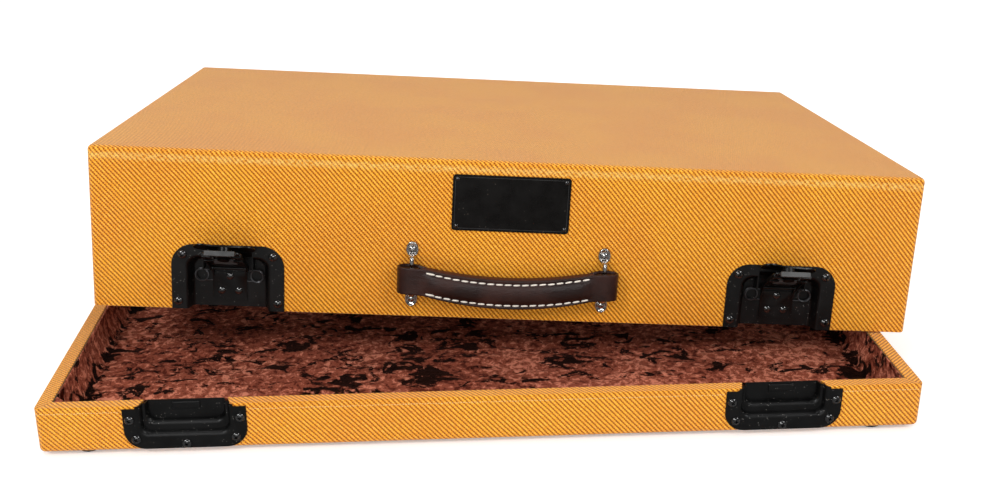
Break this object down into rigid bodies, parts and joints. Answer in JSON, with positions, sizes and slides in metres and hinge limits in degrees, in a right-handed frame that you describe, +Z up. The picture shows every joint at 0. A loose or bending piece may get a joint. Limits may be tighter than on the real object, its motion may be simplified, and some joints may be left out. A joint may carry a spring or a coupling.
{
  "type": "pedal case",
  "caption": "Covered carrying case for effect pedals: shallow lined tray on feet, deep lift-off lid set down askew with its twist latches open, leather handle",
  "frame": {"origin": "On the floor, under the middle of the space that tray and lid take up together as they lie", "axes": "+X runs along the case to the right, +Y from the front with the latches and the handle to the back, +Z up; millimetres in the STEP files"},
  "size_m": [0.8624, 0.7, 0.2473],
  "materials": {
    "tweed": "ribbed cloth with a light lacquer",
    "plywood": "plain sanded board",
    "velvet": "crushed pile",
    "black_steel": "pressed sheet with a satin black coat",
    "chrome": "polished chrome plating",
    "spring_steel": "dark drawn wire",
    "screws": "glossy black cross-head screws and rivets",
    "leather": "oiled grain with pale stitching",
    "filler": "pressed felt",
    "plate": "dark satin lacquer",
    "rubber": "moulded matt"
  },
  "bodies": {
    "tray": {"keeper_dish_screws": "screws", "keeper_dishes": "black_steel", "tray_covering": "tweed", "tray_feet": "rubber", "tray_floor_panel": "plywood", "tray_foot_screws": "screws", "tray_front_wall": "plywood", "tray_hinge_halves": "black_steel", "tray_hinge_screws": "screws", "tray_left_wall": "plywood", "tray_lining": "velvet", "tray_rear_wall": "plywood", "tray_right_wall": "plywood"},
    "lid": {"handle_bracket_screws": "chrome", "handle_brackets": "chrome", "latch_base_rivets": "screws", "latch_bases": "black_steel", "latch_dish_screws": "screws", "latch_dishes": "black_steel", "latch_pins": "black_steel", "latch_springs": "spring_steel", "lid_covering": "tweed", "lid_front_wall": "plywood", "lid_hinge_halves": "black_steel", "lid_hinge_screws": "screws", "lid_left_wall": "plywood", "lid_lining": "velvet", "lid_rear_wall": "plywood", "lid_right_wall": "plywood", "lid_top_panel": "plywood", "name_plate": "plate", "name_plate_screws": "screws"},
    "handle": {"handle_core": "filler", "handle_strap": "leather"},
    "latch_left": {"latch_carrier_left": "black_steel"},
    "wing_left": {"latch_cam_left": "black_steel", "latch_wing_left": "black_steel"},
    "hook_left": {"latch_hook_left": "black_steel"},
    "latch_right": {"latch_carrier_right": "black_steel"},
    "wing_right": {"latch_cam_right": "black_steel", "latch_wing_right": "black_steel"},
    "hook_right": {"latch_hook_right": "black_steel"}
  },
  "joints": [
    {"name": "lid_lift", "type": "slide", "parent": "tray", "child": "lid", "axis": [0, 0, 1], "range_m": [0, 0.3]},
    {"name": "handle_pull", "type": "slide", "parent": "lid", "child": "handle", "axis": [-0.0347, -0.9953, 0.0909], "range_m": [0, 0.0026]},
    {"name": "latch_swing_left", "type": "hinge", "parent": "lid", "child": "latch_left", "pos_m": [-0.27303, -0.20142, 0.1215], "axis": [0.9982, -0.039, -0.0464], "range_deg": [0, 122], "stiffness_Nm_per_rad": 0.15, "springref_deg": -20.05},
    {"name": "wing_turn_left", "type": "hinge", "parent": "latch_left", "child": "wing_left", "pos_m": [-0.27314, -0.23011, 0.14325], "axis": [0.0605, 0.603, 0.7955], "range_deg": [-6, 174]},
    {"name": "hook_slide_left", "type": "slide", "parent": "latch_left", "child": "hook_left", "axis": [0.0031, 0.7968, -0.6042], "range_m": [-0.0002, 0.0058]},
    {"name": "latch_swing_right", "type": "hinge", "parent": "lid", "child": "latch_right", "pos_m": [0.27496, -0.22286, 0.09604], "axis": [0.9982, -0.039, -0.0464], "range_deg": [0, 122], "stiffness_Nm_per_rad": 0.15, "springref_deg": -20.05},
    {"name": "wing_turn_right", "type": "hinge", "parent": "latch_right", "child": "wing_right", "pos_m": [0.27485, -0.25154, 0.11779], "axis": [0.0605, 0.603, 0.7955], "range_deg": [-16, 164]},
    {"name": "hook_slide_right", "type": "slide", "parent": "latch_right", "child": "hook_right", "axis": [0.0031, 0.7968, -0.6042], "range_m": [-0.00053, 0.00547]}
  ],
  "couplings": [
    {"joint": "wing_turn_left", "follows": "hook_slide_left", "rad_per_m": 523.6},
    {"joint": "wing_turn_right", "follows": "hook_slide_right", "rad_per_m": 523.6}
  ]
}
